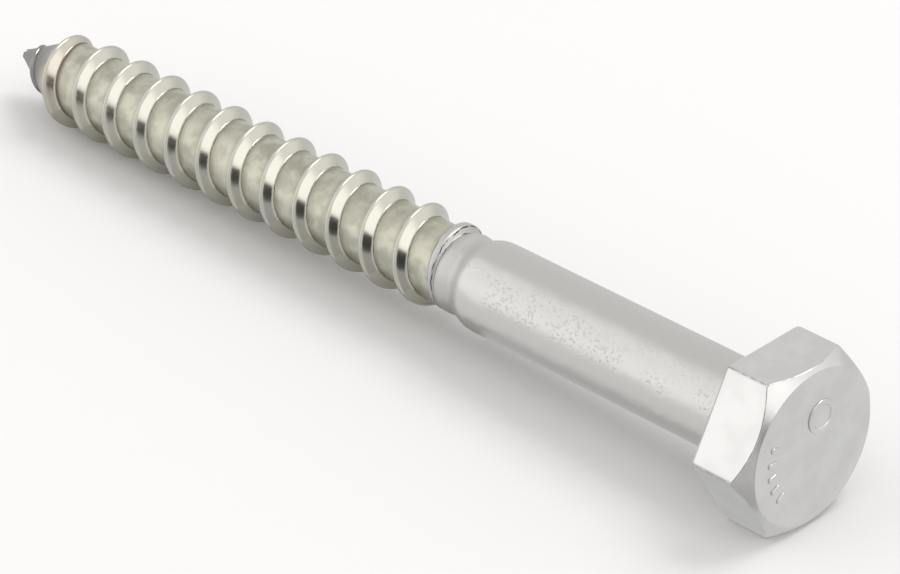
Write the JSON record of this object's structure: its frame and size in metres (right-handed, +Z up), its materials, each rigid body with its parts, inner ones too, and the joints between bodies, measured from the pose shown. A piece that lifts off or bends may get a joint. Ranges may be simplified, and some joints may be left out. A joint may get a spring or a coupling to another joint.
{
  "type": "lag screw",
  "caption": "Hexagon-head lag screw in stainless steel, lying at rest, with a plain shank, a coarse wood thread and a gimlet point.",
  "frame": {"origin": "centre of the head's bearing face, on the screw's axis", "axes": "+Z up from the surface it lies on; +X towards the head, along the screw's axis as seen from above; the axis itself dips two degrees towards the tip, because the head is wider than the thread; the lowest flat of the head and the thread's ridges rest on the surface"},
  "size_m": [0.0852, 0.0146, 0.0129],
  "materials": {
    "stainless": "satin stainless steel, bright where the thread was rolled"
  },
  "bodies": {
    "root": {"lag_screw": "stainless"}
  },
  "joints": []
}
